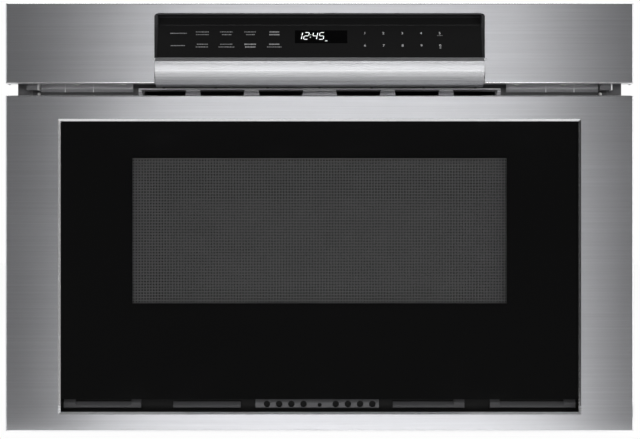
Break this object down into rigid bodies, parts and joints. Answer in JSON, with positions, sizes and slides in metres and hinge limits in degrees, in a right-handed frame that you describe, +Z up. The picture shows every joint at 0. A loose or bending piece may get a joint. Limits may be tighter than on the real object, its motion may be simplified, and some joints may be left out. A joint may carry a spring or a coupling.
{
  "type": "built-in microwave drawer oven",
  "caption": "Built-in drawer microwave oven: stainless drawer front with black window glass, tilted touch panel over a vent gap, motorised rack drive and telescopic slides",
  "frame": {"origin": "under the middle of the overall box, on the shelf that the oven stands on", "axes": "+Z up, -Y out of the front towards the user, +X to the right of a viewer who faces the front"},
  "size_m": [0.759, 0.6638, 0.5215],
  "materials": {
    "stainless": "horizontal brushed grain",
    "bright_stainless": "fine brushed grain",
    "black_glass": "gloss, back-painted",
    "clear_glass": "gloss",
    "screen_steel": "perforated, satin black",
    "zinc_sheet": "zinc plated",
    "dark_sheet": "satin black paint",
    "cavity_enamel": "grey baked paint",
    "door_enamel": "dark grey baked paint",
    "box_steel": "satin",
    "ceramic": "glazed ceramic",
    "black_plastic": "moulded, satin",
    "grey_plastic": "moulded, matt",
    "white_nylon": "moulded, satin",
    "mica": "pressed mica sheet",
    "shaft_steel": "ground",
    "slide_steel": "bright zinc",
    "aluminium_sheet": "mill finish",
    "laminated_steel": "varnished laminations",
    "winding_copper": "enamelled copper wire",
    "circuit_board": "solder mask",
    "motor_metal": "plated steel"
  },
  "bodies": {
    "chassis": {"base_plate": "zinc_sheet", "right_side_panel": "zinc_sheet", "left_side_panel": "zinc_sheet", "back_panel": "zinc_sheet", "top_cover": "zinc_sheet", "front_frame": "dark_sheet", "cord_gland": "black_plastic", "oven_cavity": "cavity_enamel", "cavity_support": "zinc_sheet", "stirrer_cover": "mica", "stirrer_motor": "motor_metal", "waveguide": "zinc_sheet", "magnetron_yoke": "zinc_sheet", "magnetron_body": "aluminium_sheet", "transformer_core": "laminated_steel", "transformer_windings": "winding_copper", "hv_capacitor": "aluminium_sheet", "power_board": "circuit_board", "oven_lamp": "zinc_sheet", "thermal_cutouts": "black_plastic", "fan_shroud": "grey_plastic", "fan_motor": "laminated_steel", "exhaust_duct": "grey_plastic", "shaft_bearings": "grey_plastic", "motor_bracket": "zinc_sheet", "drive_motor": "motor_metal", "outer_rails": "slide_steel", "rail_mounts": "zinc_sheet", "interlock_switches": "black_plastic", "control_fascia": "stainless", "control_lip": "bright_stainless", "control_glass": "black_glass", "control_housing": "black_plastic", "control_board": "circuit_board", "control_bracket": "dark_sheet", "vent_grille": "zinc_sheet", "case_screws": "shaft_steel"},
    "drawer": {"racks": "white_nylon", "inner_rails": "slide_steel", "drawer_arms": "zinc_sheet", "latch_hooks": "grey_plastic", "door_trim": "stainless", "door_glass": "black_glass", "door_screen": "screen_steel", "door_choke_frame": "door_enamel", "choke_cover": "black_plastic", "door_inner_glass": "clear_glass", "door_back_panel": "dark_sheet", "lower_vent_strip": "grey_plastic", "drawer_box": "box_steel", "ceramic_shelf": "ceramic", "drawer_screws": "shaft_steel"},
    "right_middle": {"right_middle_rail": "slide_steel"},
    "left_middle": {"left_middle_rail": "slide_steel"},
    "drive_shaft": {"cross_shaft": "shaft_steel", "rack_pinions": "white_nylon", "drive_gear": "white_nylon"},
    "motor_shaft": {"motor_pinion": "shaft_steel"},
    "fan": {"fan_blade": "black_plastic"},
    "stirrer": {"stirrer": "aluminium_sheet"}
  },
  "joints": [
    {"name": "drawer_slide", "type": "slide", "parent": "chassis", "child": "drawer", "axis": [0, -1, 0], "range_m": [0, 0.38]},
    {"name": "right_middle_slide", "type": "slide", "parent": "chassis", "child": "right_middle", "axis": [0, -1, 0], "range_m": [0, 0.19]},
    {"name": "left_middle_slide", "type": "slide", "parent": "chassis", "child": "left_middle", "axis": [0, -1, 0], "range_m": [0, 0.19]},
    {"name": "drive_shaft_turn", "type": "hinge", "parent": "chassis", "child": "drive_shaft", "pos_m": [0, -0.229, 0.1], "axis": [1, 0, 0], "range_deg": [0, 1210]},
    {"name": "motor_shaft_turn", "type": "hinge", "parent": "chassis", "child": "motor_shaft", "pos_m": [0.2, -0.19133, 0.07825], "axis": [1, 0, 0], "range_deg": [-2688, 0]},
    {"name": "fan_spin", "type": "hinge", "parent": "chassis", "child": "fan", "pos_m": [-0.122, 0.242, 0.3], "axis": [1, 0, 0], "continuous": true},
    {"name": "stirrer_spin", "type": "hinge", "parent": "chassis", "child": "stirrer", "pos_m": [0, -0.048, 0.352], "axis": [0, 0, 1], "continuous": true}
  ],
  "couplings": [
    {"joint": "right_middle_slide", "follows": "drawer_slide", "ratio": 0.5},
    {"joint": "left_middle_slide", "follows": "drawer_slide", "ratio": 0.5},
    {"joint": "drive_shaft_turn", "follows": "drawer_slide", "rad_per_m": 55.556},
    {"joint": "motor_shaft_turn", "follows": "drawer_slide", "rad_per_m": -123.46}
  ]
}
